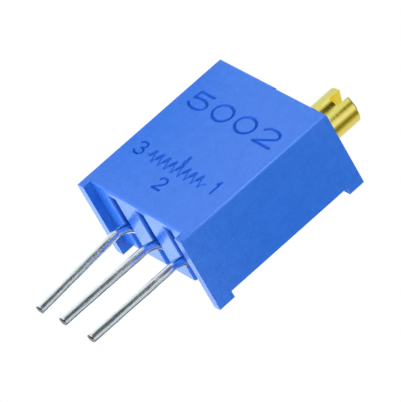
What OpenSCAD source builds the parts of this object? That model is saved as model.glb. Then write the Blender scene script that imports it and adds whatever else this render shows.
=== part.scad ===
// Multi-turn trimmer potentiometer, square top-adjust type with three in-line pins.
// X runs along the row of pins, -Y is the marked front face, +Z is towards the screw.
// The origin is the middle pin's axis, on the plane of the feet that stand on the board.

/* [Housing] */
// Width of the housing along the row of pins
body_w = 9.53; // [9.4:0.01:12.5]
// Height of the housing from its feet to its top
body_h = 10.03; // [9.9:0.01:13]
// Depth of the housing from its marked face to its back feet
body_t = 4.83; // [4.75:0.01:6]
// Thickness of the marked front wall
front_wall = 0.5; // [0.42:0.01:0.56]
// Thickness of the two side walls, which end in the feet
side_wall = 0.6; // [0.45:0.01:0.75]
// Thickness of the top wall behind the ceramic's edge
top_wall = 0.63; // [0.45:0.01:0.8]
// Height of the floor above the board
standoff = 0.48; // [0.3:0.01:0.6]
// Thickness of the floor's lip under the ceramic's edge
floor_lip = 0.3; // [0.2:0.01:0.34]
// How far the side walls stop short of the back feet
back_standoff = 0.49; // [0.2:0.01:0.55]
// How far the floor and the top stop short of the back feet
back_lip = 0.53; // [0.25:0.01:0.6]
// Height of each foot at the ends of the side walls
foot_h = 1.0; // [0.6:0.05:1.6]
// Rounding of the housing's upright edges and of the marked face's ends
edge_r = 0.13; // [0.05:0.01:0.25]
// Step down of the top around the screw
screw_side_step = 0.05; // [0.02:0.01:0.1]
// Distance from the right side to the step in the top
screw_side_w = 4.54; // [3:0.02:5]

/* [Pins] */
// Diameter of the pin wire
pin_d = 0.48; // [0.4:0.01:0.56]
// Spacing of the pins
pin_pitch = 2.54; // [2.3:0.01:2.7]
// Length of the pins below the board plane
pin_len = 5.88; // [3:0.01:8]
// Distance from the marked face to the row of pins
pin_from_front = 2.41; // [2:0.01:2.9]
// Height above the board at which the pins pass through the ceramic
pin_level = 1.0; // [0.95:0.01:1.2]
// Width of the slot in the floor for each pin
pin_slot_w = 0.6; // [0.5:0.01:0.75]
// Distance from the marked face to the front end of the slots
pin_slot_front = 0.42; // [0.35:0.01:1]
// Rounding of the floor's edges along the slots
pin_slot_round = 0.13; // [0.05:0.01:0.2]

/* [Adjustment screw] */
// Distance from the screw's axis to the right side of the housing
screw_from_side = 1.27; // [1.2:0.01:1.6]
// Distance from the screw's axis to the marked face
screw_from_front = 1.3; // [1.28:0.01:1.56]
// Diameter of the screw's head
head_d = 2.16; // [1.8:0.01:2.4]
// Height of the head
head_h = 1.65; // [1.2:0.01:2.2]
// Chamfer round the top of the head
head_chamfer = 0.07; // [0.03:0.01:0.15]
// Width of the driver slot
driver_slot_w = 0.62; // [0.4:0.01:0.75]
// Depth of the driver slot
driver_slot_h = 0.75; // [0.4:0.01:1.1]
// Direction of the driver slot, from the row of pins
driver_slot_angle = 115; // [0:5:175]
// Depth of the grooves for the sealing ring and the clip
groove_depth = 0.32; // [0.25:0.01:0.36]
// Height of the sealing ring's groove
ring_groove_h = 0.4; // [0.36:0.01:0.5]
// Height of the land above each groove
land_h = 0.26; // [0.2:0.01:0.34]
// Thickness of the retaining clip
clip_t = 0.25; // [0.15:0.01:0.3]
// Width of the clip's bow behind the screw
clip_bow_w = 0.5; // [0.3:0.05:0.7]
// Length of the screw's tail bearing in the floor
tail_h = 0.6; // [0.4:0.01:0.8]

/* [Worm drive] */
// Module of the teeth
gear_module = 0.18; // [0.15:0.005:0.18]
// Number of teeth on the worm wheel
wheel_teeth = 32; // [28:1:32]
// Pitch radius of the worm
worm_pitch_r = 0.615; // [0.56:0.005:0.66]
// Pressure angle of the teeth
pressure_angle = 20; // [18:1:24]
// Gap between the flanks of the worm and the wheel, on each side of a tooth
backlash = 0.03; // [0.02:0.005:0.05]
// Turns of thread on the worm
worm_turns = 8; // [5:1:8]
// Width of the toothed rim
rim_w = 0.6; // [0.4:0.02:0.8]
// Distance from the top of the housing down to the wheel's axis
wheel_from_top = 4.83; // [4.83:0.01:5.2]
// Diameter of the boss that the wheel turns on
boss_d = 1.2; // [0.9:0.02:1.5]
// Distance from the marked face to the wheel's back
wheel_back = 2.4; // [2.2:0.02:2.5]
// How far the boss stops short of the wheel's back
boss_short = 0.2; // [0.05:0.05:0.4]
// Diameter of the pad that the wheel turns against
thrust_pad_d = 3.2; // [1.8:0.1:4]
// Thickness of the wheel's outer wall round its recess
wheel_wall = 0.25; // [0.2:0.05:0.4]
// Diameter of the two posts that locate the wiper's spring
post_d = 0.34; // [0.24:0.02:0.4]

/* [Element and wiper] */
// Distance from the marked face to the ledge that the element seats on
ledge_from_front = 3.4; // [3.34:0.01:3.42]
// Thickness of the ceramic plate
ceramic_t = 0.55; // [0.4:0.01:0.6]
// Thickness of the printed track and conductors
print_t = 0.03; // [0.02:0.005:0.05]
// Mean radius of the resistive track
track_r = 2.35; // [2:0.05:2.45]
// Width of the resistive track
track_w = 0.6; // [0.4:0.05:0.8]
// Angle of the track to each side of its middle
track_half_angle = 148; // [144:1:152]
// Mean radius of the collector ring
collector_r = 0.7; // [0.6:0.05:0.9]
// Width of the printed conductors
conductor_w = 0.6; // [0.4:0.05:0.8]
// Rounding of the ceramic plate's corners
ceramic_corner_r = 0.2; // [0.1:0.05:0.4]
// Thickness of the wiper's spring strip
spring_t = 0.08; // [0.05:0.01:0.12]
// Diameter of the spring's ring
spring_ring_d = 3.3; // [3:0.1:3.6]
// Width of the wheel's land inside the spring's ring
hub_land = 0.15; // [0.1:0.05:0.25]
// Width of the wiper's arms
arm_w = 0.9; // [0.7:0.05:1.1]
// Diameter of each contact wire
wire_d = 0.1; // [0.08:0.01:0.12]
// Number of contact wires in each brush
wire_count = 5; // [3:1:6]
// Thickness of the sealing resin behind the ceramic
seal_t = 0.2; // [0.12:0.01:0.24]
// How far the resin in the slots stays above the floor's underside
seal_sink = 0.18; // [0.1:0.01:0.25]
// Distance from the row of pins back to the resin in the slots
seal_from_pins = 0.55; // [0.4:0.05:0.8]
// Diameter of each solder joint
solder_d = 0.9; // [0.7:0.02:1.1]

/* [Clearances] */
// Radial gap of every turning fit
running_gap = 0.03; // [0.015:0.005:0.05]
// Gap beside and under the turning pieces
end_gap = 0.05; // [0.03:0.01:0.08]
// Gap round pieces that are set into the housing
set_gap = 0.03; // [0.02:0.005:0.06]
// Gap between the wheel's teeth and the pocket wall
tip_gap = 0.1; // [0.08:0.01:0.12]
// Gap between the contact wires and the prints
contact_gap = 0.02; // [0.015:0.005:0.04]

/* [Hidden] */
$fn = 64;
cut = 1;                                     // overshoot of every cutting tool

// Colours
housing_blue = "#2f6fe0";
brass = "#d8b648";
tin = "#b9bcc0";

// Planes, as Y of a distance from the marked face
front_y = -pin_from_front;
back_y = front_y + body_t;
ledge_y = front_y + ledge_from_front;
ceramic_y = ledge_y + print_t;
ceramic_back_y = ceramic_y + ceramic_t;
seal_back_y = ceramic_back_y + seal_t;
wheel_back_y = front_y + wheel_back;
pocket_y = front_y + front_wall;
spring_y = wheel_back_y + spring_t;

// Pins, which end their bend just in front of the ceramic
pin_r = pin_d / 2;
pin_bend_r = ceramic_y - set_gap / 2;
bend_z = pin_level - pin_bend_r;
slot_top_z = pin_level + pin_r + 2 * set_gap;
function pin_x(terminal) = (2 - terminal) * pin_pitch;

// Gearing
wheel_pitch_r = wheel_teeth * gear_module / 2;
addendum = 0.9 * gear_module;
dedendum = 1.25 * gear_module;
thread_pitch = PI * gear_module;
lead_angle = atan(thread_pitch / (2 * PI * worm_pitch_r));
worm_outer_r = worm_pitch_r + addendum;
worm_root_r = worm_pitch_r - dedendum;
wheel_outer_r = wheel_pitch_r + addendum;
wheel_root_r = wheel_pitch_r - dedendum;
pocket_r = wheel_outer_r + tip_gap;

// Screw, from the top down
screw_x = body_w / 2 - screw_from_side;
screw_y = front_y + screw_from_front;
screw_bore_r = worm_outer_r + tip_gap / 2 + running_gap;
journal_r = screw_bore_r - running_gap;
groove_r = journal_r - groove_depth;
tail_r = worm_root_r;
screw_land_z = body_h - screw_side_step;
head_z = screw_land_z + end_gap;
ring_groove_z = screw_land_z - land_h - ring_groove_h;
clip_groove_h = clip_t + 2 * end_gap;
clip_groove_z = ring_groove_z - land_h - clip_groove_h;

// Wheel
wheel_x = screw_x - worm_pitch_r - wheel_pitch_r;
wheel_z = body_h - wheel_from_top;
wheel_body_r = wheel_root_r - gear_module;
boss_r = boss_d / 2;
worm_bottom_z = wheel_z - pocket_r;
tail_z = worm_bottom_z - tail_h;
hub_r = boss_r + running_gap;
spring_inner_r = hub_r + hub_land;
spring_outer_r = spring_ring_d / 2;
post_r = post_d / 2;
post_at = (spring_inner_r + spring_outer_r) / 2;

// Element
ceramic_x = body_w / 2 - side_wall - set_gap;
ceramic_bottom_z = standoff + floor_lip + set_gap;
ceramic_top_z = body_h - top_wall - set_gap;
brush_y = ledge_y - contact_gap;             // where the contact wires end

// ---------------------------------------------------------------- shapes

// Rectangle with rounded corners, centred
module rounded_rect(w, h, r) {
    square([w - 2 * r, h], center = true);
    square([w, h - 2 * r], center = true);
    for (x = [-1, 1], y = [-1, 1])
        translate([x * (w / 2 - r), y * (h / 2 - r)]) circle(r);
}

// Box from one corner to the other
module box(low, high) {
    translate(low) cube(high - low);
}

// Cylinder that starts at a height and points up
module rod(r, z_low, z_high) {
    translate([0, 0, z_low]) cylinder(r = r, h = z_high - z_low);
}

// Puts a shape drawn in X and Z, thickened from low_y to high_y
module slab(low_y, high_y) {
    translate([0, high_y, 0]) rotate([90, 0, 0]) linear_extrude(high_y - low_y) children();
}

// Puts children at the screw's axis, and at the wheel's
module at_screw() {
    translate([screw_x, screw_y, 0]) children();
}
module at_wheel() {
    translate([wheel_x, 0, wheel_z]) children();
}

// Flat strip of constant width from a to b, with round ends
module strip(a, b, w) {
    span = b - a;
    translate(a) rotate(atan2(span.y, span.x)) translate([0, -w / 2]) square([norm(span), w]);
    for (p = [a, b])
        translate(p) circle(w / 2);
}

// Flat ring of mean radius r and width w
module ring(r, w) {
    difference() {
        circle(r + w / 2);
        circle(r - w / 2);
    }
}

// Ring that stays open round the lowest point, beyond half_angle from the highest
module horseshoe(r, w, half_angle) {
    reach = 2 * (r + w);
    gap = 180 - half_angle;
    difference() {
        ring(r, w);
        polygon([[0, 0], [-reach * sin(gap), -reach * cos(gap)], [reach * sin(gap), -reach * cos(gap)]]);
    }
}

// ---------------------------------------------------------------- housing

// Waste along the top or bottom edge of the marked face, between two X, for its edge to be round
module edge_waste(low_x, high_x, z, into) {
    difference() {
        box([low_x, front_y - cut, min(z - into * cut, z + into * edge_r)],
            [high_x, front_y + edge_r, max(z - into * cut, z + into * edge_r)]);
        translate([low_x - cut, front_y + edge_r, z + into * edge_r]) rotate([0, 90, 0])
            cylinder(r = edge_r, h = high_x - low_x + 2 * cut);
    }
}

module housing_form() {
    mid_y = (front_y + back_y) / 2;
    inner_x = body_w / 2 - side_wall;
    step_x = body_w / 2 - screw_side_w;
    difference() {
        translate([0, mid_y, 0]) linear_extrude(body_h) rounded_rect(body_w, body_t, edge_r);
        // room over the board between the two side walls
        box([-inner_x, front_y - cut, -cut], [inner_x, back_y + cut, standoff]);
        // the floor and the top stop short of the back feet
        box([-inner_x, back_y - back_lip, -cut], [inner_x, back_y + cut, body_h + cut]);
        // the side walls stop short of them too, between the feet
        box([-body_w, back_y - back_standoff, foot_h], [body_w, back_y + cut, body_h - foot_h]);
        // the lower top around the screw
        box([step_x, front_y - cut, screw_land_z], [body_w, back_y + cut, body_h + cut]);
        // rounded lower and upper edges of the marked face
        edge_waste(-inner_x, inner_x, standoff, 1);
        edge_waste(-body_w, step_x, body_h, -1);
        edge_waste(step_x, body_w, screw_land_z, -1);
    }
}

// Section of a pin's slot through the floor, whose lower edges are rounded
module slot_section() {
    half_w = pin_slot_w / 2;
    translate([-half_w, -cut]) square([2 * half_w, cut + slot_top_z]);
    difference() {
        translate([-half_w - pin_slot_round, standoff - cut])
            square([2 * (half_w + pin_slot_round), cut + pin_slot_round]);
        for (x = [-1, 1])
            translate([x * (half_w + pin_slot_round), standoff + pin_slot_round]) circle(pin_slot_round);
    }
}

module housing() {
    color(housing_blue) {
        difference() {
            housing_form();
            // recess for the ceramic, open at the back
            box([-ceramic_x - set_gap, ledge_y, ceramic_bottom_z - set_gap],
                [ceramic_x + set_gap, back_y + cut, ceramic_top_z + set_gap]);
            // round pocket of the worm wheel
            at_wheel() slab(pocket_y, ledge_y + cut) circle(pocket_r);
            // bore of the screw, and its tail bearing
            at_screw() rod(screw_bore_r, worm_bottom_z, body_h + cut);
            at_screw() rod(tail_r + running_gap, tail_z - end_gap, worm_bottom_z + cut);
            // slot that the clip slides into
            box([screw_x - journal_r - set_gap, pocket_y, clip_groove_z],
                [screw_x + journal_r + set_gap, ledge_y + cut, clip_groove_z + clip_groove_h]);
            // slot of each pin
            for (terminal = [1:3])
                translate([pin_x(terminal), 0, 0])
                    slab(front_y + pin_slot_front, back_y + cut) slot_section();
        }
        // boss that carries the worm wheel
        at_wheel() slab(pocket_y - front_wall / 2, wheel_back_y - boss_short) circle(boss_r);
    }
}

// ---------------------------------------------------------------- screw

// One turn of the worm's thread is cut as a rack tooth: half widths at its foot and crest
thread_half_pitch_w = thread_pitch / 4 - backlash;
thread_foot_w = thread_half_pitch_w + dedendum * tan(pressure_angle);
thread_crest_w = thread_half_pitch_w - addendum * tan(pressure_angle);
thread_steps = 24;                           // facets in each turn

// Thread section at one step: it rises from the core over the first and last half turn
function thread_section(i, last) =
    let (angle = 360 * i / thread_steps,
         ramp = min(1, min(i, last - i) / (thread_steps / 2)),
         crest = worm_root_r + ramp * (worm_outer_r - worm_root_r),
         sunk = worm_root_r - gear_module / 2,
         mid_z = thread_pitch * (i - last / 2) / thread_steps)
    [for (p = [[sunk, -thread_foot_w], [worm_root_r, -thread_foot_w], [crest, -thread_crest_w],
               [crest, thread_crest_w], [worm_root_r, thread_foot_w], [sunk, thread_foot_w]])
        [p[0] * cos(angle), p[0] * sin(angle), mid_z + p[1]]];

module worm_thread() {
    last = worm_turns * thread_steps;
    corners = 6;
    points = [for (i = [0:last]) each thread_section(i, last)];
    sides = [for (i = [0:last - 1], k = [0:corners - 1])
        let (a = i * corners, b = a + corners, next = (k + 1) % corners)
        each [[a + k, a + next, b + next], [a + k, b + next, b + k]]];
    start_cap = [[for (k = [0:corners - 1]) corners - 1 - k]];
    end_cap = [[for (k = [0:corners - 1]) last * corners + k]];
    polyhedron(points, concat(start_cap, end_cap, sides));
}

module adjustment_screw() {
    color(brass) at_screw() difference() {
        union() {
            rotate_extrude() polygon([
                [0, tail_z], [tail_r, tail_z], [worm_root_r, worm_bottom_z],
                [worm_root_r, clip_groove_z - land_h],
                [journal_r, clip_groove_z - land_h], [journal_r, clip_groove_z],
                [groove_r, clip_groove_z], [groove_r, clip_groove_z + clip_groove_h],
                [journal_r, clip_groove_z + clip_groove_h], [journal_r, ring_groove_z],
                [groove_r, ring_groove_z], [groove_r, ring_groove_z + ring_groove_h],
                [journal_r, ring_groove_z + ring_groove_h], [journal_r, head_z],
                [head_d / 2, head_z], [head_d / 2, head_z + head_h - head_chamfer],
                [head_d / 2 - head_chamfer, head_z + head_h], [0, head_z + head_h]]);
            translate([0, 0, wheel_z]) worm_thread();
        }
        rotate(driver_slot_angle)
            box([-head_d, -driver_slot_w / 2, head_z + head_h - driver_slot_h],
                [head_d, driver_slot_w / 2, head_z + head_h + cut]);
    }
}

// Rubber ring that seals the screw in its bore
module seal_ring() {
    section_r = (screw_bore_r - groove_r) / 2 - running_gap / 2;
    color("#202020") at_screw() translate([0, 0, ring_groove_z + ring_groove_h / 2])
        rotate_extrude() translate([(screw_bore_r + groove_r) / 2, 0]) circle(section_r);
}

// Flat U-shaped clip that holds the screw by its groove
module screw_clip() {
    jaw_r = groove_r + running_gap;
    legs_y = pocket_y + set_gap;
    bow_y = screw_y + jaw_r + clip_bow_w;
    color("#c9ccd0") translate([screw_x, 0, clip_groove_z + end_gap]) linear_extrude(clip_t)
        difference() {
            translate([-journal_r, legs_y]) square([2 * journal_r, bow_y - legs_y]);
            translate([0, screw_y]) circle(jaw_r);
            translate([-jaw_r, legs_y - cut]) square([2 * jaw_r, screw_y - legs_y + cut]);
        }
}

// ---------------------------------------------------------------- wheel and wiper

// Point of an involute flank at radius r, turned so that the tooth is centred on +X
base_r = wheel_pitch_r * cos(pressure_angle);
function involute_angle(r) =
    let (roll = sqrt(max(0, r * r / (base_r * base_r) - 1))) roll * 180 / PI - atan(roll);
half_tooth = 90 / wheel_teeth - asin(backlash / wheel_pitch_r);
function flank(r) =
    let (a = half_tooth + involute_angle(wheel_pitch_r) - involute_angle(r)) [r * cos(a), r * sin(a)];

// Tooth outline, from a little inside the root circle to the tip
module tooth() {
    radii = [wheel_root_r - gear_module / 2, base_r, wheel_pitch_r, wheel_outer_r];
    side = [for (r = radii) flank(r)];
    polygon(concat([for (p = side) [p.x, -p.y]], [for (i = [3:-1:0]) side[i]]));
}

// Worm wheel, with its straight teeth leaning at the worm's lead angle
module worm_wheel() {
    rim_low = screw_y - rim_w / 2;
    rim_high = screw_y + rim_w / 2;
    color("#e9e4d2") at_wheel() difference() {
        union() {
            slab(pocket_y + 2 * end_gap, wheel_back_y) circle(wheel_body_r);
            slab(pocket_y + end_gap, wheel_back_y) circle(thrust_pad_d / 2);
            slab(rim_low, rim_high) circle(wheel_root_r);
            intersection() {
                slab(rim_low, rim_high) circle(wheel_outer_r);
                for (i = [0:wheel_teeth - 1])
                    rotate([0, i * 360 / wheel_teeth, 0]) translate([0, screw_y, 0])
                        rotate([-lead_angle, 0, 0]) slab(-rim_w, rim_w) tooth();
            }
            for (x = [-post_at, post_at])
                translate([x, 0, 0]) slab(wheel_back_y - cut, spring_y + spring_t) circle(post_r);
        }
        slab(front_y, back_y) circle(hub_r);
        // ring-shaped recess that keeps the moulding's walls even
        slab(rim_high, back_y) difference() {
            circle(wheel_body_r - wheel_wall);
            circle(spring_outer_r + hub_land);
        }
    }
}

// Side view of a strip bent along its middle line, of the same thickness all along
module bent_strip(path, t) {
    for (i = [1:len(path) - 1])
        strip(path[i - 1], path[i], t);
}

// One arm of the wiper, standing up from the spring's ring along +Z
module wiper_arm(root, bend, tip) {
    low_y = wheel_back_y + spring_t / 2;
    high_y = brush_y - 3 * wire_d - spring_t / 2;
    translate([arm_w / 2, 0, 0]) rotate([0, -90, 0]) linear_extrude(arm_w)
        bent_strip([[root, low_y], [bend, low_y], [tip, high_y], [tip + (tip - bend) / 3, high_y]],
                   spring_t);
}

arm_margin = 0.1;                            // from the ring's edges to an arm's root and bend
window_h = 0.45;                             // height of the window under the inner arm
track_wire_run = 0.37;                       // reach of the contact wires along the element
collector_wire_run = 0.27;
bar_in = 0.08;                               // from an arm's end to the middle of its bar

// Reach of each arm: where it leaves the ring, where it starts to rise, and where it ends
track_arm = [spring_inner_r + arm_margin, spring_outer_r - arm_margin,
             track_r - track_wire_run - bar_in];
collector_arm = [spring_outer_r - arm_margin, spring_inner_r + window_h,
                 collector_r + collector_wire_run + bar_in];

module wiper_spring() {
    color("#caa24a") at_wheel() {
        difference() {
            slab(wheel_back_y, spring_y) circle(spring_outer_r);
            slab(front_y, back_y) circle(spring_inner_r);
            for (x = [-post_at, post_at])
                translate([x, 0, 0]) slab(front_y, back_y) circle(post_r + set_gap / 2);
            // window under the arm that reaches inwards
            translate([-arm_w / 2, wheel_back_y - cut, -collector_arm[1]])
                cube([arm_w, 2 * cut, collector_arm[1]]);
        }
        wiper_arm(track_arm[0], track_arm[1], track_arm[2]);
        mirror([0, 0, 1]) wiper_arm(collector_arm[0], collector_arm[1], collector_arm[2]);
    }
}

// Comb of contact wires, from the bar on an arm's end to the print
module brush(bar_at, tip_at) {
    bar_h = 2 * wire_d;
    bar_y = brush_y - 3 * wire_d;
    rise = brush_y - wire_d / 2 - (bar_y + wire_d / 2);
    run = tip_at - bar_at;
    translate([-arm_w / 2, bar_y, bar_at - bar_h / 2]) cube([arm_w, wire_d, bar_h]);
    for (i = [0:wire_count - 1])
        translate([(i + 0.5 - wire_count / 2) * arm_w / wire_count, bar_y + wire_d / 2, bar_at]) {
            rotate([-atan2(rise, run), 0, 0]) cylinder(d = wire_d, h = norm([rise, run]), $fn = 24);
            translate([0, rise, run]) sphere(d = wire_d, $fn = 24);
        }
}

module track_brush() {
    color("#d9d2b8") at_wheel() brush(track_r - track_wire_run, track_r);
}

module collector_brush() {
    color("#d9d2b8") at_wheel() mirror([0, 0, 1]) brush(collector_r + collector_wire_run, collector_r);
}

// ---------------------------------------------------------------- element

module pin_notch(terminal, r) {
    translate([pin_x(terminal), pin_level]) circle(r);
    translate([pin_x(terminal) - r, 0]) square([2 * r, pin_level]);
}

// Ceramic plate, notched at its lower edge for the pins
module ceramic_plate() {
    mid_z = (ceramic_bottom_z + ceramic_top_z) / 2;
    color("#f2f0ea") slab(ceramic_y, ceramic_back_y) difference() {
        translate([0, mid_z]) rounded_rect(2 * ceramic_x, ceramic_top_z - ceramic_bottom_z, ceramic_corner_r);
        for (terminal = [1:3])
            pin_notch(terminal, pin_r + set_gap);
    }
}

// Middle of a conductor's round end, just past the track's end on the right or the left
track_lead_angle = track_half_angle + atan(conductor_w / 5 / track_r);
function track_end(side) =
    [wheel_x + side * track_r * sin(track_lead_angle), wheel_z + track_r * cos(track_lead_angle)];

module resistive_track() {
    color("#2b2622") slab(ledge_y, ceramic_y) translate([wheel_x, wheel_z])
        horseshoe(track_r, track_w, track_half_angle);
}

// Printed pad round a pin, kept to the ceramic's face
module pad(terminal) {
    difference() {
        intersection() {
            translate([pin_x(terminal), pin_level]) circle(solder_d / 2 + set_gap);
            translate([-ceramic_x, ceramic_bottom_z + set_gap]) square([2 * ceramic_x, body_h]);
        }
        pin_notch(terminal, pin_r + set_gap);
    }
}

module conductor(terminal) {
    side = terminal == 1 ? 1 : -1;
    root = [pin_x(terminal), pin_level + solder_d / 2];
    color("#b8b2a0") slab(ledge_y, ceramic_y) {
        pad(terminal);
        difference() {
            strip(root, track_end(side), conductor_w);
            pin_notch(terminal, pin_r + set_gap);
            translate([wheel_x, wheel_z]) horseshoe(track_r, track_w, track_half_angle);
        }
    }
}

module conductor_1() { conductor(1); }
module conductor_3() { conductor(3); }

// Collector ring in the middle, with its lead to the wiper's pin
module conductor_2() {
    elbow = [wheel_x, wheel_z - track_r - track_w];
    color("#b8b2a0") slab(ledge_y, ceramic_y) {
        pad(2);
        translate([wheel_x, wheel_z]) ring(collector_r, conductor_w);
        strip([wheel_x, wheel_z - collector_r], elbow, conductor_w);
        difference() {
            strip(elbow, [pin_x(2), pin_level + solder_d / 2], conductor_w);
            pin_notch(2, pin_r + set_gap);
        }
    }
}

// Round wire that comes through the ceramic and bends down to the board
module pin(terminal) {
    end_y = ceramic_back_y + seal_t / 2;
    color(tin) translate([pin_x(terminal), 0, 0]) {
        rod(pin_r, -pin_len, bend_z);
        translate([0, pin_bend_r, bend_z]) rotate([0, 0, -90]) rotate([90, 0, 0])
            rotate_extrude(angle = 90) translate([pin_bend_r, 0]) circle(pin_r);
        translate([0, pin_bend_r, pin_level]) rotate([-90, 0, 0]) cylinder(r = pin_r, h = end_y - pin_bend_r);
    }
}

module pin_1() { pin(1); }
module pin_2() { pin(2); }
module pin_3() { pin(3); }

// Solder that fills a notch and covers the pin's end behind the ceramic
module solder_form(terminal) {
    dome_h = 0.75 * seal_t;
    translate([pin_x(terminal), ceramic_y, pin_level]) rotate([-90, 0, 0]) {
        cylinder(r = pin_r + set_gap, h = ceramic_t + dome_h);
        translate([0, 0, ceramic_t])
            cylinder(r1 = solder_d / 2, r2 = pin_r + set_gap, h = dome_h);
    }
}

module solder(terminal) {
    color("#a9adb3") difference() {
        solder_form(terminal);
        pin(terminal);
        box([-body_w, front_y, 0], [body_w, back_y, ceramic_bottom_z]);
    }
}

module solder_1() { solder(1); }
module solder_2() { solder(2); }
module solder_3() { solder(3); }

// Resin that closes the back and runs round the pins into the slots
module back_seal() {
    color("#26365c") difference() {
        union() {
            box([-ceramic_x - set_gap, ceramic_back_y, ceramic_bottom_z - set_gap],
                [ceramic_x + set_gap, seal_back_y, ceramic_top_z + set_gap]);
            for (terminal = [1:3])
                box([pin_x(terminal) - pin_slot_w / 2, seal_from_pins, standoff + seal_sink],
                    [pin_x(terminal) + pin_slot_w / 2, seal_back_y, slot_top_z]);
        }
        slab(ledge_y, ceramic_back_y) difference() {
            translate([-body_w, ceramic_bottom_z]) square([2 * body_w, body_h]);
            for (terminal = [1:3])
                pin_notch(terminal, pin_r + set_gap);
        }
        for (terminal = [1:3]) {
            solder(terminal);
            pin(terminal);
        }
    }
}

housing();
adjustment_screw();
seal_ring();
screw_clip();
worm_wheel();
wiper_spring();
track_brush();
collector_brush();
ceramic_plate();
resistive_track();
conductor_1();
conductor_2();
conductor_3();
pin_1();
pin_2();
pin_3();
solder_1();
solder_2();
solder_3();
back_seal();
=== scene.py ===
"""Looks of a multi-turn trimmer potentiometer: blue moulded housing, brass screw, three tinned pins.

Shapes are worked in millimetres and turned to metres as each piece is finished.
"""

import math

import bmesh
import bpy
from mathutils import Matrix, Vector, noise


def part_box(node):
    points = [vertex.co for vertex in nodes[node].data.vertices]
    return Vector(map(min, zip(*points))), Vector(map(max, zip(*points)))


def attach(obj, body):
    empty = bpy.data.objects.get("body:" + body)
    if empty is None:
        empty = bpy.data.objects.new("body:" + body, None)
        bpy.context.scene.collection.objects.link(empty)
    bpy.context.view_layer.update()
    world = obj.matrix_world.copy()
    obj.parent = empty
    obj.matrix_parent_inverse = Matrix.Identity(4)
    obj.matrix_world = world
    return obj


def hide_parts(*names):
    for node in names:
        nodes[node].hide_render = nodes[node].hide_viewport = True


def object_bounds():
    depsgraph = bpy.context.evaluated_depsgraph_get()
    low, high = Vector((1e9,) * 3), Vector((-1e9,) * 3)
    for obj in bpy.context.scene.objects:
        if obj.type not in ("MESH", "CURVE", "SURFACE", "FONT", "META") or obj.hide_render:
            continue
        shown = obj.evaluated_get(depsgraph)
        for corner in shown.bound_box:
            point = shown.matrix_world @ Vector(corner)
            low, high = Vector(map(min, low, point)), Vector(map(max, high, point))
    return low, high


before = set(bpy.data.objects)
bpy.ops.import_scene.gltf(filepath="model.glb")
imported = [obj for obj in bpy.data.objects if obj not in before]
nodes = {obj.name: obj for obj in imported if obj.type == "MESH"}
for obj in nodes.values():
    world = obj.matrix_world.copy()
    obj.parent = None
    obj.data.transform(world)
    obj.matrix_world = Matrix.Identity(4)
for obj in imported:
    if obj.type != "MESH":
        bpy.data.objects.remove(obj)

cad_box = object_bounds()
MM = 0.001


# ---------------------------------------------------------------- camera

# Where the camera stands, seen from the point that it looks at, and how far it is rolled
CAMERA_AZIMUTH = math.radians(-36.603)
CAMERA_ELEVATION = math.radians(-15.338)
CAMERA_ROLL = math.radians(48.53)
CAMERA_TARGET = Vector((5.686, -4.21, 1.67)) * MM
CAMERA_DISTANCE = 320 * MM
FOCAL_LENGTH = 583.2  # millimetres, on a sensor this wide
SENSOR_WIDTH = 36.0
CLIP_START = 0.05     # metres
CLIP_END = 5.0


def direction(azimuth, elevation):
    """The unit vector that points that way, from angles in radians."""
    flat = math.cos(elevation)
    return Vector((flat * math.cos(azimuth), flat * math.sin(azimuth), math.sin(elevation)))


def aimed(target, azimuth, elevation, distance, roll=0.0):
    """Place and turn of a camera or lamp that looks at the target from that side."""
    back = direction(azimuth, elevation)
    level = Vector((-math.sin(azimuth), math.cos(azimuth), 0))
    rise = back.cross(level)
    right = level * math.cos(roll) + rise * math.sin(roll)
    up = rise * math.cos(roll) - level * math.sin(roll)
    turn = Matrix((right, up, back)).transposed().to_4x4()
    return Matrix.Translation(target + back * distance) @ turn


def link(name, data):
    """A new object in the scene, at the origin."""
    made = bpy.data.objects.new(name, data)
    bpy.context.scene.collection.objects.link(made)
    return made


lens = bpy.data.cameras.new("camera")
lens.lens = FOCAL_LENGTH
lens.sensor_width = SENSOR_WIDTH
lens.clip_start = CLIP_START
lens.clip_end = CLIP_END
camera = link("camera", lens)
camera.matrix_world = aimed(CAMERA_TARGET, CAMERA_AZIMUTH, CAMERA_ELEVATION,
                            CAMERA_DISTANCE, CAMERA_ROLL)
bpy.context.scene.camera = camera
bpy.context.scene.view_settings.view_transform = "Standard"


# ---------------------------------------------------------------- materials

def linear(code):
    """Linear RGBA of an sRGB hex colour."""
    shares = [int(code[i:i + 2], 16) / 255 for i in (1, 3, 5)]
    return [s / 12.92 if s <= 0.04045 else ((s + 0.055) / 1.055) ** 2.4 for s in shares] + [1.0]


def node(tree, kind, inputs=(), **settings):
    """Adds a node. inputs gives each socket's value or the socket that feeds it."""
    made = tree.nodes.new("ShaderNode" + kind)
    for name, value in settings.items():
        setattr(made, name, value)
    for socket, value in dict(inputs).items():
        if isinstance(value, bpy.types.NodeSocket):
            tree.links.new(value, made.inputs[socket])
        else:
            made.inputs[socket].default_value = value
    return made


def blank(name):
    """A material with an empty node tree, and that tree."""
    made = bpy.data.materials.new(name)
    made.use_nodes = True
    made.node_tree.nodes.clear()
    return made, made.node_tree


def per_mm(size):
    """A texture's scale, from the size of its grains in millimetres."""
    return 1 / (size * MM)


NOISE_LOW = 0.3  # nearly all of a noise lies between these two
NOISE_HIGH = 0.7


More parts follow.
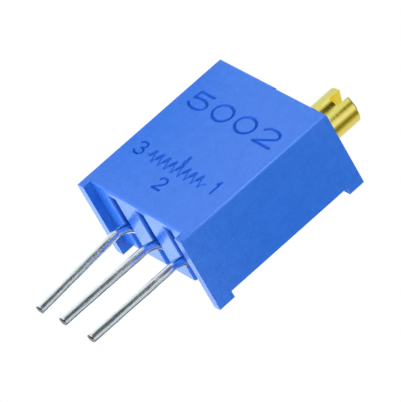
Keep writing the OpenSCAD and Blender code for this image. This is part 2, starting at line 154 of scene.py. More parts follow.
def finish_of(name, light, dark, roughness, mottle, grain, depth, metallic=0.0,
              stretch=(1, 1, 1), **shader_values):
    """A material with two mottled colours and a fine grain.

    mottle and grain are sizes and depth is a height, in millimetres. stretch draws the grain out
    along an axis where it is below 1 and packs it where it is above 1, as drawing and turning do.
    """
    made, tree = blank(name)
    place = node(tree, "TexCoord").outputs["Object"]
    cloud = node(tree, "TexNoise", {"Vector": place, "Scale": per_mm(mottle), "Detail": 3.0})
    drawn = node(tree, "Mapping", {"Vector": place, "Scale": stretch}).outputs[0]
    grit = node(tree, "TexNoise", {"Vector": drawn, "Scale": per_mm(grain), "Detail": 2.0})
    spread = node(tree, "Mix", {0: 0.5, 2: cloud.outputs["Fac"], 3: grit.outputs["Fac"]})
    spread = node(tree, "MapRange", {"Value": spread.outputs[0], "From Min": NOISE_LOW,
                                     "From Max": NOISE_HIGH})
    colour = node(tree, "Mix", {0: spread.outputs[0], 6: linear(dark), 7: linear(light)},
                  data_type="RGBA")
    gloss = node(tree, "MapRange", {"Value": grit.outputs["Fac"], "To Min": roughness[0],
                                    "To Max": roughness[1]})
    bump = node(tree, "Bump", {"Height": grit.outputs["Fac"], "Distance": depth * MM,
                               "Strength": 1.0})
    shader = node(tree, "BsdfPrincipled", {
        "Base Color": colour.outputs[2], "Roughness": gloss.outputs[0],
        "Normal": bump.outputs[0], "Metallic": metallic})
    for socket, value in shader_values.items():
        shader.inputs[socket.replace("_", " ")].default_value = value
    node(tree, "OutputMaterial", {"Surface": shader.outputs[0]})
    return made


# Moulded PBT, from a spark-eroded mould: an even satin blue. The mould's grit is nearer 0.03 mm
# and is drawn coarser, so that it shows
pbt_blue = finish_of("moulded_pbt_blue", "#2570DB", "#1963CF", roughness=(0.20, 0.30),
                     mottle=0.5, grain=0.17, depth=0.010, IOR=1.57)
# The same PBT in the sunk marks, from an engraved, unpolished mould: matt, painted darker as shade.
# The tool's marks are finer and are drawn as coarse as they need to show
engraved_pbt_painted_shade = finish_of("engraved_pbt_blue", "#1F6ADC", "#1560CC", roughness=(0.6, 0.75),
                         mottle=0.5, grain=0.08, depth=0.004, Specular_IOR_Level=0.2)
# Turned yellow brass: bright bands along it, crossed by feed marks that run round it. Those are
# 0.07 mm apart here, a little coarser than real, so that they show
turned_brass = finish_of("turned_brass", "#F2E78C", "#EADB78", metallic=1.0,
                         roughness=(0.08, 0.14), mottle=0.8, grain=0.5, depth=0.0011,
                         stretch=(1, 1, 7))
# Milled slot in the brass: a fresh pale cut, painted a deeper gold as the reflection of its walls
# in one another. The cutter's marks are finer and are drawn coarser, so that they show
milled_brass_painted_reflection = finish_of("milled_brass_painted_reflection", "#F2E056", "#E8D444", metallic=1.0,
                         roughness=(0.05, 0.15), mottle=0.3, grain=0.12, depth=0.002)
# Hot-tinned copper wire: bright, with drawn streaks and pits in the tin. The pits are finer and
# are drawn coarser, so that they show
tinned_wire = finish_of("tinned_copper_wire", "#F4FAFE", "#DEE8EE", metallic=1.0,
                        roughness=(0.12, 0.28), mottle=0.3, grain=0.10, depth=0.0065,
                        stretch=(1, 1, 0.35))
# Sheared copper core at the wire's end: dull brown, torn
sheared_copper = finish_of("sheared_copper", "#6A5850", "#302A28", metallic=1.0,
                           roughness=(0.3, 0.6), mottle=0.2, grain=0.08, depth=0.02)
# Cast epoxy resin: smooth and glossy, deep blue
epoxy = finish_of("cast_epoxy_resin", "#36A2F6", "#2A90EA", roughness=(0.12, 0.22),
                  mottle=0.9, grain=0.6, depth=0.01)
# Dry-pressed alumina: chalk white, fine and matt
alumina = finish_of("pressed_alumina", "#F3F1EB", "#E9E6DE", roughness=(0.6, 0.75),
                    mottle=0.8, grain=0.05, depth=0.002)
# Screen-printed cermet film: dark brown, slightly glossy from its glass
cermet = finish_of("printed_cermet", "#33291F", "#221B15", roughness=(0.3, 0.45),
                   mottle=0.3, grain=0.06, depth=0.003)
# Screen-printed silver palladium: pale grey metal with the mesh's faint texture
silver_print = finish_of("printed_silver_palladium", "#C9C4B4", "#B4AE9C", metallic=1.0,
                         roughness=(0.35, 0.5), mottle=0.3, grain=0.07, depth=0.003)
# Soft solder: smooth bright grey, frosted in patches
soft_solder = finish_of("soft_solder", "#C6C9CC", "#A9ADB1", metallic=1.0,
                        roughness=(0.18, 0.4), mottle=0.25, grain=0.12, depth=0.006)
# Moulded silicone rubber: matt black
silicone = finish_of("moulded_silicone_rubber", "#26262A", "#1B1B1E", roughness=(0.6, 0.75),
                     mottle=0.5, grain=0.06, depth=0.003)
# Stamped stainless spring steel: rolled grey strip
spring_steel = finish_of("stamped_stainless_steel", "#C4C6C8", "#B1B4B7", metallic=1.0,
                         roughness=(0.22, 0.36), mottle=0.6, grain=0.08, depth=0.003,
                         stretch=(0.2, 1, 1))
# Moulded acetal: milky white with a soft sheen
acetal = finish_of("moulded_acetal", "#F0ECDF", "#E6E1D2", roughness=(0.35, 0.45),
                   mottle=1.0, grain=0.12, depth=0.003)
# Rolled phosphor bronze strip: warm red gold, with the rolls' fine lines along it
phosphor_bronze = finish_of("rolled_phosphor_bronze", "#D9A873", "#C9965F", metallic=1.0,
                            roughness=(0.22, 0.34), mottle=0.6, grain=0.08, depth=0.003,
                            stretch=(1, 1, 0.2))
# Drawn palladium silver wire: smooth, pale and bright
contact_wire = finish_of("drawn_palladium_silver_wire", "#DAD7CE", "#C8C4B8", metallic=1.0,
                         roughness=(0.15, 0.28), mottle=0.3, grain=0.05, depth=0.002)

for name, coat in {
    "seal_ring": silicone, "screw_clip": spring_steel, "worm_wheel": acetal,
    "wiper_spring": phosphor_bronze, "track_brush": contact_wire,
    "collector_brush": contact_wire, "ceramic_plate": alumina, "resistive_track": cermet,
    "conductor_1": silver_print, "conductor_2": silver_print, "conductor_3": silver_print,
    "solder_1": soft_solder, "solder_2": soft_solder, "solder_3": soft_solder,
    "back_seal": epoxy,
}.items():
    nodes[name].data.materials.clear()
    nodes[name].data.materials.append(coat)


# ---------------------------------------------------------------- shapes

WELD = 0.0005    # points closer than this are one point
ON_PLANE = 1e-5  # points closer than this to a cutting plane lie on it


def from_cad(name):
    """A merged copy of a CAD node's mesh, in millimetres."""
    bm = bmesh.new()
    bm.from_mesh(nodes[name].data)
    bmesh.ops.scale(bm, vec=(1 / MM,) * 3, verts=bm.verts)
    bmesh.ops.remove_doubles(bm, verts=bm.verts, dist=WELD)
    return bm


def box_of(name):
    """Lowest and highest corners of a CAD node, in millimetres."""
    low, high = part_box(name)
    return low / MM, high / MM


def mesh_of(bm, name):
    """A mesh object from a bmesh, in the bmesh's own unit."""
    mesh = bpy.data.meshes.new(name)
    bm.to_mesh(mesh)
    bm.free()
    return link(name, mesh)


def cut(piece, cutter, outside, walls):
    """Takes the cutter's shape out of a piece. The new walls get a material of their own."""
    piece.data.materials.append(outside)
    cutter.data.materials.append(walls)
    tool = piece.modifiers.new("cut", "BOOLEAN")
    tool.operation = "DIFFERENCE"
    tool.solver = "EXACT"
    tool.material_mode = "TRANSFER"
    tool.use_self = True
    tool.object = cutter
    bpy.context.view_layer.update()
    shaped = bpy.data.meshes.new_from_object(
        piece.evaluated_get(bpy.context.evaluated_depsgraph_get()))
    piece.modifiers.clear()
    piece.data = shaped
    bpy.data.objects.remove(cutter)


def finish(piece, body, slot, *replaced, smooth_below, flat_above=None):
    """Turns a piece to metres and ties it to the frame.

    Edges under smooth_below degrees are shaded smooth, but not round a face whose area is over
    flat_above square millimetres, so that a flat face beside a rounding stays flat to the eye.
    """
    mesh = piece.data
    mesh.shade_smooth()
    mesh.set_sharp_from_angle(angle=math.radians(smooth_below))
    if flat_above is not None:
        bm = bmesh.new()
        bm.from_mesh(mesh)
        for face in bm.faces:
            if face.calc_area() > flat_above:
                for edge in face.edges:
                    edge.smooth = False
        bm.to_mesh(mesh)
        bm.free()
    mesh.transform(Matrix.Scale(MM, 4))
    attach(piece, body)
    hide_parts(*replaced)
    return piece


# ---------------------------------------------------------------- marks on the front face

def arc(centre, half_w, half_h, start, end, steps=9):
    """Points of an elliptic arc, from angles in degrees."""
    turns = [math.radians(start + (end - start) * i / steps) for i in range(steps + 1)]
    return [(centre[0] + half_w * math.cos(t), centre[1] + half_h * math.sin(t)) for t in turns]


# Strokes of each digit, in a cell one wide and one high
DIGITS = {
    "0": [arc((0.5, 0.5), 0.5, 0.5, 90, 450, 22)],
    "1": [[(0.3, 0.76), (0.56, 1), (0.56, 0)]],
    "2": [arc((0.5, 0.71), 0.46, 0.29, 165, -35) + [(0.0, 0.0), (1.0, 0.0)]],
    "3": [arc((0.48, 0.76), 0.42, 0.24, 160, -90) + arc((0.5, 0.27), 0.5, 0.27, 90, -160)],
    "5": [[(0.92, 1), (0.14, 1), (0.08, 0.56)] + arc((0.48, 0.33), 0.5, 0.33, 125, -155, 13)],
}


def digit(character, left, base, width, height):
    """Strokes of one digit, placed on the front face."""
    return [[(left + x * width, base + z * height) for x, z in stroke]
            for stroke in DIGITS[character]]


CUTTER_SIDES = 12
CUTTER_TAPER = 0.5  # radius at a groove's bottom, of that at the face


def groove_cutter(grooves, y):
    """The waste of tapered grooves in the upright face at y.

    Each groove is a line of points, its radius at the face and its depth. Each length of it is the
    hull of the tapered cutter at its two ends.
    """
    bm = bmesh.new()
    for line, radius, depth in grooves:
        for ends in zip(line, line[1:]):
            verts = []
            for x, z in ends:
                for level, r in ((y - depth, radius * (2 - CUTTER_TAPER)),
                                 (y + depth, radius * CUTTER_TAPER)):
                    ring = bmesh.ops.create_circle(
                        bm, segments=CUTTER_SIDES, radius=r, cap_ends=False,
                        matrix=Matrix.Translation((x, level, z))
                        @ Matrix.Rotation(math.pi / 2, 4, "X"))["verts"]
                    verts += ring
            bmesh.ops.delete(bm, geom=list({e for v in verts for e in v.link_edges}),
                             context="EDGES_FACES")
            bmesh.ops.convex_hull(bm, input=verts, use_existing_faces=False)
    loose = [v for v in bm.verts if not v.link_faces]
    bmesh.ops.delete(bm, geom=loose, context="VERTS")
    bmesh.ops.recalc_face_normals(bm, faces=bm.faces)
    return mesh_of(bm, "groove")


# Radius at the face and depth of each kind of stroke
LARGE_STROKE = 0.092, 0.15
SMALL_STROKE = 0.076, 0.14
BOLD_STROKE = 0.12, 0.16
LOW_STROKE = 0.07, 0.07
FAINT_STROKE = 0.06, 0.04
# A resistance value in large digits: the first one's left edge, their pitch, base, width and height
VALUE_DIGITS = "5002"
VALUE_LEFT = -3.80
VALUE_PITCH = 2.03
VALUE_BASE = 6.82
VALUE_SIZE = 1.48, 1.06
# The terminals' numbers, each with its left edge, base, width and height
TERMINAL_DIGITS = (("3", -3.80, 3.10, 0.70, 0.82), ("1", 2.98, 3.10, 0.60, 0.86),
                   ("2", -0.36, 1.90, 0.66, 0.76))
# The circuit symbol: a resistor's zigzag with a short lead at each end, and the wiper's arrow
LEAD_LEVEL = 3.40
LEAD_STEP = 0.18
ZIGZAG_LEFT = -2.30
ZIGZAG_STEP = 0.30
ZIGZAG_POINTS = 16
PEAK_LEVEL = 3.72
DIP_LEVEL = 3.08
PEAK_CUT = -0.14, -0.30  # how far the deep cut runs from each peak
DIP_CUT = 0.05, 0.10     # and the shallower one from each dip
ARROW_TOP = 4.30
ARROW_TIP = 3.86
ARROW_BARB = 0.14, 0.16


def value_grooves():
    """The resistance value."""
    return [(stroke, *LARGE_STROKE) for place, character in enumerate(VALUE_DIGITS)
            for stroke in digit(character, VALUE_LEFT + VALUE_PITCH * place, VALUE_BASE,
                                *VALUE_SIZE)]


def terminal_grooves():
    """The numbers beside the terminals."""
    return [(stroke, *SMALL_STROKE) for character, *cell in TERMINAL_DIGITS
            for stroke in digit(character, *cell)]


def symbol_grooves():
    """The symbol. Its peaks are cut deep, its dips less, and the rest is faint."""
    bends = [(ZIGZAG_LEFT + ZIGZAG_STEP * i, DIP_LEVEL if i % 2 else PEAK_LEVEL)
             for i in range(ZIGZAG_POINTS)]
    right = bends[-1][0]
    left_lead = [(ZIGZAG_LEFT - LEAD_STEP * i, LEAD_LEVEL) for i in (2, 1)]
    right_lead = [(right + LEAD_STEP * i, LEAD_LEVEL) for i in (1, 2)]
    made = [(left_lead + bends + right_lead, *FAINT_STROKE)]
    for x, z in bends:
        (run, rise), stroke = (PEAK_CUT, BOLD_STROKE) if z > LEAD_LEVEL else (DIP_CUT, LOW_STROKE)
        made.append(([(x, z), (x + run, z + rise)], *stroke))
    reach, rise = ARROW_BARB
    made.append(([(0.0, ARROW_TOP), (0.0, ARROW_TIP)], *BOLD_STROKE))
    made.append(([(-reach, ARROW_TIP + rise), (0.0, ARROW_TIP), (reach, ARROW_TIP + rise)],
                 *FAINT_STROKE))
    return made


# ---------------------------------------------------------------- housing

housing_low, housing_high = box_of("housing")
EDGE_BREAK = 0.06  # rounding of the moulding's sharp edges
SHARP_FROM = math.radians(50)
END_LOOP = 0.25    # how far a loop lies from each end of the long roundings
FEET_ZONE = 1.31   # outer edges end at the feet or the floor, which go this far up,
TOP_ZONE = 0.10    # at the top, within this of it,
BACK_ZONE = 0.67   # or within this of the back


def on_outside(edge):
    """Whether an edge of the housing is on a part of it that shows."""
    return all(v.co.z < FEET_ZONE or v.co.z > housing_high.z - TOP_ZONE
               or v.co.y > housing_high.y - BACK_ZONE for v in edge.verts)


def build_housing():
    """The moulding, with its outer edges rounded and its front face marked."""
    bm = from_cad("housing")
    bmesh.ops.dissolve_limit(bm, angle_limit=math.radians(0.5), verts=bm.verts,
                             edges=bm.edges, delimit={"SHARP"})
    sharp = [e for e in bm.edges if len(e.link_faces) == 2
             and e.calc_face_angle(0) > SHARP_FROM and on_outside(e)]
    bmesh.ops.bevel(bm, geom=sharp, offset=EDGE_BREAK, offset_type="OFFSET", affect="EDGES",
                    segments=3, profile=0.5, material=-1, clamp_overlap=True)
    # loops near both ends of the long roundings, so that their shading stays true between them
    for z in (END_LOOP, housing_high.z - END_LOOP):
        bmesh.ops.bisect_plane(bm, geom=bm.verts[:] + bm.edges[:] + bm.faces[:], dist=ON_PLANE,
                               plane_co=(0, 0, z), plane_no=(0, 0, 1))
    body = mesh_of(bm, "housing_moulding")
    marks = value_grooves() + terminal_grooves() + symbol_grooves()
    # the grooves' walls take the darker PBT, painted shade
    cut(body, groove_cutter(marks, housing_low.y), pbt_blue, engraved_pbt_painted_shade)
    return finish(body, "body", "housing_plastic", "housing", smooth_below=25.0, flat_above=0.3)


housing = build_housing()


# ---------------------------------------------------------------- screw

screw_low, screw_high = box_of("adjustment_screw")
screw_axis = Vector(((screw_low.x + screw_high.x) / 2, (screw_low.y + screw_high.y) / 2, 0))
HEAD_R = (screw_high.x - screw_low.x) / 2
HEAD_H = 1.66        # the head and the top 0.01 of the stem are made anew
HEAD_CHAMFER = 0.07  # round its upper edge
FOOT_CHAMFER = 0.04  # and its lower one
HEAD_STEPS = 96
SLOT_W = 0.62
SLOT_H = 0.75
SLOT_ANGLE = math.radians(115)
SLOT_BREAK = 0.025   # chamfer on the slot's edges


def break_slot(screw):
    """Breaks the edges of the slot, whose walls have the second material."""
    bm = bmesh.new()
    bm.from_mesh(screw.data)
    rim = [e for e in bm.edges if len({f.material_index for f in e.link_faces}) == 2]
    bmesh.ops.bevel(bm, geom=rim, offset=SLOT_BREAK, offset_type="OFFSET", affect="EDGES",
                    segments=2, profile=0.5, material=-1, clamp_overlap=True)
    bm.to_mesh(screw.data)
    bm.free()


def build_screw():
    """The screw, with a turned head in the place of the plain one, and the slot milled in it."""
    head_low = screw_high.z - HEAD_H
    bm = from_cad("adjustment_screw")
    cutting = bmesh.ops.bisect_plane(
        bm, geom=bm.verts[:] + bm.edges[:] + bm.faces[:], dist=ON_PLANE,
        plane_co=(0, 0, head_low), plane_no=(0, 0, 1), clear_outer=True)
    rim = [e for e in cutting["geom_cut"] if isinstance(e, bmesh.types.BMEdge)]
    bmesh.ops.contextual_create(bm, geom=rim)
    # the head: a turned profile spun about the axis
    profile = [(0, head_low), (HEAD_R - FOOT_CHAMFER, head_low), (HEAD_R, head_low + FOOT_CHAMFER),
               (HEAD_R, screw_high.z - HEAD_CHAMFER), (HEAD_R - HEAD_CHAMFER, screw_high.z),
               (0, screw_high.z)]
    points = [bm.verts.new((screw_axis.x + r, screw_axis.y, z)) for r, z in profile]
    line = [bm.edges.new(pair) for pair in zip(points, points[1:])]
    bmesh.ops.spin(bm, geom=points + line, cent=screw_axis, axis=(0, 0, 1),
                   angle=2 * math.pi, steps=HEAD_STEPS, use_merge=True)
    bmesh.ops.remove_doubles(bm, verts=bm.verts, dist=WELD)
    bmesh.ops.recalc_face_normals(bm, faces=bm.faces)
    screw = mesh_of(bm, "brass_screw")
    slot = bmesh.new()
    bmesh.ops.create_cube(slot, size=1)
    bmesh.ops.scale(slot, vec=(4 * HEAD_R, SLOT_W, 2 * SLOT_H), verts=slot.verts)
    bmesh.ops.rotate(slot, cent=(0, 0, 0), matrix=Matrix.Rotation(SLOT_ANGLE, 3, "Z"),
                     verts=slot.verts)
    bmesh.ops.translate(slot, vec=screw_axis + Vector((0, 0, screw_high.z)), verts=slot.verts)
    # the slot's walls take the brass with its painted reflection
    cut(screw, mesh_of(slot, "slot"), turned_brass, milled_brass_painted_reflection)
    break_slot(screw)
    finish(screw, "screw", "screw_brass", "adjustment_screw", smooth_below=20.0)


build_screw()


# ---------------------------------------------------------------- pins

PIN_BEND_R = 1.3  # of the wire's axis
PIN_SIDES = 40
BEND_STEPS = 14
SHANK_STEPS = 56
# How far each pin stands off its true place, in X and Y, below its bend and at its tip
PIN_STANCE = {1: ((0.03, 0.02), (0.03, 0.03)), 2: ((0.0, 0.0), (0.0, 0.0)),
              3: ((-0.03, -0.04), (0.20, 0.23))}
TIN_LUMP = Vector((0.28, 0.28, 0.8))  # size of the uneven places in the dipped tin
TIN_UNEVEN = 0.012                    # and their height
CUT_SLANT = 0.16   # the shear leaves the end lower on its front left side
CUT_LIP = 0.035    # height and width of the burr that it pushes out
CORE_SHARE = 0.55  # the torn core's radius, of the wire's: the shear smears tin over the rest
CORE_OFF = Vector((-0.38, -0.095))  # how far the core lies off the axis, of the wire's radius


def grow(bm, edges, move=(0, 0, 0)):
    """Extrudes a ring of edges, moves the new ring, and gives it back."""
    grown = bmesh.ops.extrude_edge_only(bm, edges=edges)["geom"]
    verts = {g for g in grown if isinstance(g, bmesh.types.BMVert)}
    bmesh.ops.translate(bm, vec=move, verts=list(verts))
    return [g for g in grown if isinstance(g, bmesh.types.BMEdge) and set(g.verts) <= verts]


def verts_of(edges):
    """The points that the edges join, each once."""
    return list({v for e in edges for v in e.verts})


def build_pin(terminal):
    """Round wire from behind the ceramic, bent down to the board and sheared to length."""
    low, high = box_of(f"pin_{terminal}")
    radius = (high.x - low.x) / 2
    x = (low.x + high.x) / 2
    level = high.z - radius
    bend_z = level - PIN_BEND_R
    bm = bmesh.new()
    bmesh.ops.create_circle(bm, segments=PIN_SIDES, radius=radius, cap_ends=False)
    bmesh.ops.rotate(bm, cent=(0, 0, 0), matrix=Matrix.Rotation(math.pi / 2, 3, "X"),
                     verts=bm.verts)
    bmesh.ops.translate(bm, vec=(x, high.y, level), verts=bm.verts)
    ring = list(bm.edges)
    bmesh.ops.contextual_create(bm, geom=ring)
    ring = grow(bm, ring, (0, PIN_BEND_R - high.y, 0))
    spun = bmesh.ops.spin(bm, geom=verts_of(ring) + ring, cent=(x, PIN_BEND_R, bend_z),
                          axis=(1, 0, 0), angle=math.pi / 2, steps=BEND_STEPS,
                          use_merge=False)["geom_last"]
    ring = [g for g in spun if isinstance(g, bmesh.types.BMEdge)]
    shank = bend_z - low.z
    for _ in range(SHANK_STEPS):
        ring = grow(bm, ring, (0, 0, -shank / SHANK_STEPS))
    # the sheared end: a burr on its rim, then the torn core a little inside it
    rim = verts_of(ring)
    middle = Vector((x, 0, low.z))
    for vert in rim:
        out = (vert.co - middle) / radius
        forward = max(0.0, -(out.x + out.y) / math.sqrt(2))
        vert.co.x += CUT_LIP * forward * out.x
        vert.co.y += CUT_LIP * forward * out.y
        vert.co.z += CUT_SLANT * radius * (1 - forward) * (1 + out.x)
    ring = grow(bm, ring)
    for vert in verts_of(ring):
        vert.co.xy = middle.xy + (vert.co.xy - middle.xy) * CORE_SHARE + CORE_OFF * radius
        vert.co.z += 2 * CUT_LIP
    core = bmesh.ops.contextual_create(bm, geom=ring)["faces"]
    for face in core:
        face.material_index = 1
    # the wire's lean
    start, end = PIN_STANCE[terminal]
    for vert in bm.verts:
        bent = min(1.0, max(0.0, (level - vert.co.z) / PIN_BEND_R))
        down = max(0.0, (bend_z - vert.co.z) / shank)
        vert.co.x += start[0] * bent + (end[0] - start[0]) * down
        vert.co.y += start[1] * bent + (end[1] - start[1]) * down
    bmesh.ops.recalc_face_normals(bm, faces=bm.faces)
    bm.normal_update()
    # the dipped tin's uneven coat
    for vert in bm.verts:
        place = Vector(v / size for v, size in zip(vert.co, TIN_LUMP))
        vert.co += vert.normal * TIN_UNEVEN * noise.noise(place)
    pin = mesh_of(bm, f"wire_pin_{terminal}")
    pin.data.materials.append(tinned_wire)
    pin.data.materials.append(sheared_copper)
    finish(pin, "body", "tinned_wire", f"pin_{terminal}", smooth_below=40.0)


for terminal in (1, 2, 3):
    build_pin(terminal)


# ---------------------------------------------------------------- studio

object_low, object_high = cad_box
object_centre = (Vector(object_low) + Vector(object_high)) / 2


def stage_piece(bm, name, material):
    """A stage piece from a bmesh in metres."""
    made = mesh_of(bm, name)
    made.data.materials.append(material)
    return made


def stage_sheet(name, width, height, place, material):
    """A flat stage piece that faces along its own Z."""
    bm = bmesh.new()
    bmesh.ops.create_grid(bm, x_segments=1, y_segments=1, size=0.5)
    bmesh.ops.scale(bm, vec=(width, height, 1), verts=bm.verts)
    bmesh.ops.transform(bm, matrix=place, verts=bm.verts)
    return stage_piece(bm, name, material)


FLOOR_SIZE = 0.8  # metres
FLOOR_GAP = 0.02 * MM
# Gloss sees a painted shadow: the floor dim within the first distance of the pins
# and nearly white past the second
FLOOR_DIM_TO = 6 * MM
FLOOR_LIT_FROM = 36 * MM
FLOOR_DIM = 0.28
FLOOR_LIT = 0.95
# Matt white paper, seen only from above: from below, the object and its lamps show through it.
# To gloss it glows, with a painted shadow: dim close to the object and white farther off.
paper, tree = blank("matt_white_paper")
rays = node(tree, "LightPath")
seen_white = node(tree, "Math", {0: rays.outputs["Is Glossy Ray"],
                                 1: rays.outputs["Is Transmission Ray"]}, operation="MAXIMUM")
sheet_shader = node(tree, "BsdfDiffuse", {"Color": linear("#F2F2F2")})
far = node(tree, "VectorMath", {0: node(tree, "TexCoord").outputs["Object"]}, operation="LENGTH")
shade = node(tree, "MapRange", {"Value": far.outputs["Value"], "From Min": FLOOR_DIM_TO,
                                "From Max": FLOOR_LIT_FROM, "To Min": FLOOR_DIM,
                                "To Max": FLOOR_LIT})
glow_with_painted_shadow = node(tree, "Emission", {"Color": linear("#FFFFFF"), "Strength": shade.outputs[0]})
top_side = node(tree, "MixShader", {0: seen_white.outputs[0], 1: sheet_shader.outputs[0],
                                    2: glow_with_painted_shadow.outputs[0]})
clear = node(tree, "BsdfTransparent")
through = node(tree, "Math", {0: node(tree, "NewGeometry").outputs["Backfacing"],
                              1: rays.outputs["Is Shadow Ray"]}, operation="MAXIMUM")
both_sides = node(tree, "MixShader", {0: through.outputs[0], 1: top_side.outputs[0],
                                      2: clear.outputs[0]})
node(tree, "OutputMaterial", {"Surface": both_sides.outputs[0]})
stage_sheet("floor", FLOOR_SIZE, FLOOR_SIZE,
            Matrix.Translation((0, 0, object_low[2] - FLOOR_GAP)), paper)

SCREEN_R = 30 * MM
SCREEN_STEPS = 72
# Heights in mm where one screen ends and the next begins: each stands where that part of the
# object mirrors it to the camera
PIN_SCREEN_LOW = -6
HOUSING_SCREEN_LOW = 7.7
SCREW_SCREEN_LOW = 17.5
SCREENS_TOP = 22.5


def only_in_gloss(thing):
    """Hides a stage piece or a lamp from every ray but those that gloss reflects."""
    thing.visible_camera = False
    thing.visible_diffuse = False
    thing.visible_shadow = False
    thing.visible_transmission = False


def screen(name, centre, low, high, stops):
    """An upright round screen of graded tones, which only gloss sees: it shades the bright metal.

    stops gives a tone at each azimuth in degrees from the camera, low and high its ends in mm.
    """
    # Bands of tone that glow and that only gloss sees: painted reflections on the bright metal
    card, tree = blank("painted_reflection_bands")
    spot = node(tree, "TexCoord").outputs["Object"]
    spot = node(tree, "VectorMath", {0: spot, 1: centre}, operation="SUBTRACT").outputs[0]
    spot = node(tree, "VectorRotate", {"Vector": spot, "Angle": -CAMERA_AZIMUTH},
                rotation_type="Z_AXIS").outputs[0]
    parts = node(tree, "SeparateXYZ", {0: spot}).outputs
    turn = node(tree, "Math", {0: parts["Y"], 1: parts["X"]}, operation="ARCTAN2").outputs[0]
    place = node(tree, "MapRange", {"Value": turn, "From Min": -math.pi, "From Max": math.pi})
    ramp = node(tree, "ValToRGB", {"Fac": place.outputs[0]})
    for _ in stops[2:]:
        ramp.color_ramp.elements.new(0.5)
    for element, (azimuth, tone) in zip(ramp.color_ramp.elements, stops):
        element.position = 0.5 + azimuth / 360
        element.color = linear(tone)
    tones = node(tree, "Emission", {"Color": ramp.outputs[0], "Strength": 1.0})
    node(tree, "OutputMaterial", {"Surface": tones.outputs[0]})
    bm = bmesh.new()
    ends = [bm.verts.new((centre[0] + SCREEN_R, centre[1], z * MM)) for z in (low, high)]
    bmesh.ops.spin(bm, geom=ends + [bm.edges.new(ends)], cent=centre, axis=(0, 0, 1),
                   angle=2 * math.pi, steps=SCREEN_STEPS, use_merge=True)
    only_in_gloss(stage_piece(bm, name, card))


# For the pins: pale to both sides, dark where they face the camera
screen("pin_screen", Vector((0, 0, 0)), PIN_SCREEN_LOW, HOUSING_SCREEN_LOW, [
    (-178, "#9A9DA0"), (-160, "#FFFFFF"), (-92, "#FFFFFF"), (-72, "#DCE2E6"), (-53, "#9A9DA0"),
    (-38, "#484A48"), (-5, "#50524F"), (14, "#666866"), (28, "#BCC0C4"), (42, "#FFFFFF"),
    (52, "#B4B8BC"), (57, "#A4A8AC"), (63, "#E6EAEE"), (76, "#E6EAEE"), (88, "#9498A0"),
    (106, "#686B72"), (160, "#62656C")])
# For the housing's faces: dark where they would mirror white and look faded
screen("housing_screen", Vector((0, 0, 0)), HOUSING_SCREEN_LOW, SCREW_SCREEN_LOW, [
    (-178, "#FFFFFF"), (-150, "#505050"), (-117, "#484848"), (-110, "#606060"), (-105, "#FFFFFF"),
    (44, "#FFFFFF"), (52, "#8C8C8C"), (62, "#707070"), (72, "#282828"), (94, "#383838"),
    (106, "#FFFFFF")])
# For the screw's head: the dark bands along its brass
screen("screw_screen", screw_axis * MM, SCREW_SCREEN_LOW, SCREENS_TOP, [
    (-178, "#E4EEDE"), (-110, "#E2ECDC"), (-95, "#F0F4D8"), (-74, "#ECEAD0"), (-64, "#A8A464"),
    (-57, "#46380A"), (-42, "#3E3006"), (-36, "#7E7026"), (-27, "#C2C080"), (-14, "#F2FCEA"),
    (-3, "#E8F2E4"), (5, "#CACE90"), (11, "#868022"), (17, "#868022"), (23, "#D0CA90"),
    (34, "#F8F8F0"), (47, "#FFFFFF"), (57, "#DAD4B0"), (64, "#A89C50"), (71, "#8E8230"),
    (79, "#8A7E2C"), (86, "#A89E58"), (94, "#C4BE8C"), (104, "#E4E2C0"), (128, "#E8E6CC"),
    (178, "#F4F2E8")])


def lit_sheet(name, finish_name, tone, strength, width, height, place):
    """A sheet of one even tone, which only gloss sees. width and height are in mm."""
    skin, tree = blank(finish_name)
    light = node(tree, "Emission", {"Color": linear(tone), "Strength": strength})
    node(tree, "OutputMaterial", {"Surface": light.outputs[0]})
    only_in_gloss(stage_sheet(name, width * MM, height * MM, place, skin))


def upright(azimuth, distance, low, high):
    """The place of an upright sheet or lamp. azimuth is in degrees from the camera, the rest mm."""
    return aimed(Vector((0, 0, (low + high) / 2 * MM)), CAMERA_AZIMUTH + math.radians(azimuth), 0,
                 distance * MM)


# Opal acrylic, lit from behind: a cool even light on the underside of the housing
UNDER_CARD = {"azimuth": 180, "distance": 12, "low": -5.8, "high": 1.4}
lit_sheet("under_card", "backlit_opal_acrylic", tone="#EAFAFF", strength=1.7, width=15,
          height=UNDER_CARD["high"] - UNDER_CARD["low"], place=upright(**UNDER_CARD))
# Glowing olive sheet overhead, seen only in gloss: a painted reflection.
# It keeps the rim of the screw's head from mirroring white
CEILING_SIZE = 40
CEILING_HEIGHT = 45
lit_sheet("ceiling_card", "painted_olive_reflection_sheet", tone="#8E8858", strength=1.0, width=CEILING_SIZE,
          height=CEILING_SIZE, place=Matrix.Translation((0, 0, CEILING_HEIGHT * MM)))

LAMP_SIZE = 0.3  # metres
LAMP_DISTANCE = 0.5


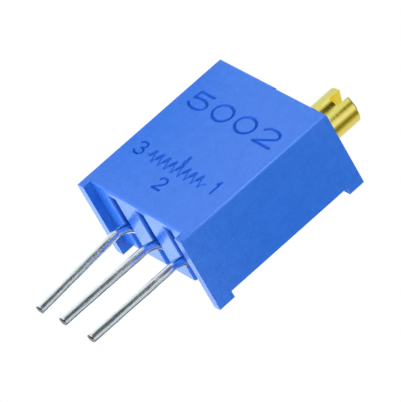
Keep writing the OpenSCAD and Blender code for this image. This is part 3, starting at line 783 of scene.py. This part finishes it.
def soft_lamp(name, azimuth, elevation, level, in_gloss=False):
    """A square lamp. level is the light on a face turned to it, where 1 shows a colour as written."""
    data = bpy.data.lights.new(name, "AREA")
    data.shape = "SQUARE"
    data.size = LAMP_SIZE
    data.energy = level * math.pi ** 2 * LAMP_DISTANCE ** 2
    lamp = link(name, data)
    lamp.matrix_world = aimed(object_centre, math.radians(azimuth), math.radians(elevation),
                              LAMP_DISTANCE)
    lamp.visible_glossy = in_gloss


soft_lamp("key_lamp", azimuth=-146, elevation=-45, level=0.59, in_gloss=True)
soft_lamp("front_lamp", azimuth=-50, elevation=8, level=0.23)
soft_lamp("side_lamp", azimuth=15, elevation=25, level=0.13)
soft_lamp("top_lamp", azimuth=-150, elevation=72, level=0.45)
soft_lamp("back_lamp", azimuth=130, elevation=25, level=0.5)
soft_lamp("under_lamp", azimuth=-60, elevation=-85, level=0.32)


def strip_lamp(name, colour, brightness, width, seen_in, **stand):
    """A bright upright strip that only one object's gloss sees. stand is as upright takes it."""
    data = bpy.data.lights.new(name, "AREA")
    data.shape = "RECTANGLE"
    data.size = width * MM
    data.size_y = (stand["high"] - stand["low"]) * MM
    data.color = linear(colour)[:3]
    data.energy = brightness * math.pi * data.size * data.size_y
    lamp = link(name, data)
    lamp.matrix_world = upright(**stand)
    only_in_gloss(lamp)
    lit = bpy.data.collections.new(name)
    lit.objects.link(seen_in)
    lamp.light_linking.receiver_collection = lit


# the light line on the edge between the front and the right side
strip_lamp("edge_lamp", "#A8CCFF", brightness=5.5, width=42, seen_in=housing,
           azimuth=-36, distance=27, low=6.6, high=17.6)

# White surroundings: full white to the eye and to gloss, softer as light on matt surfaces
SURROUND_LIGHT = 0.55
world = bpy.data.worlds.new("white_room")
bpy.context.scene.world = world
world.use_nodes = True
tree = world.node_tree
tree.nodes.clear()
rays = node(tree, "LightPath")
seen = node(tree, "Math", {0: rays.outputs["Is Camera Ray"], 1: rays.outputs["Is Glossy Ray"]},
            operation="MAXIMUM")
seen = node(tree, "Math", {0: seen.outputs[0], 1: rays.outputs["Is Transmission Ray"]},
            operation="MAXIMUM")
level = node(tree, "MapRange", {"Value": seen.outputs[0], "To Min": SURROUND_LIGHT, "To Max": 1.0})
room = node(tree, "Background", {"Color": linear("#FFFFFF"), "Strength": level.outputs[0]})
node(tree, "OutputWorld", {"Surface": room.outputs[0]})
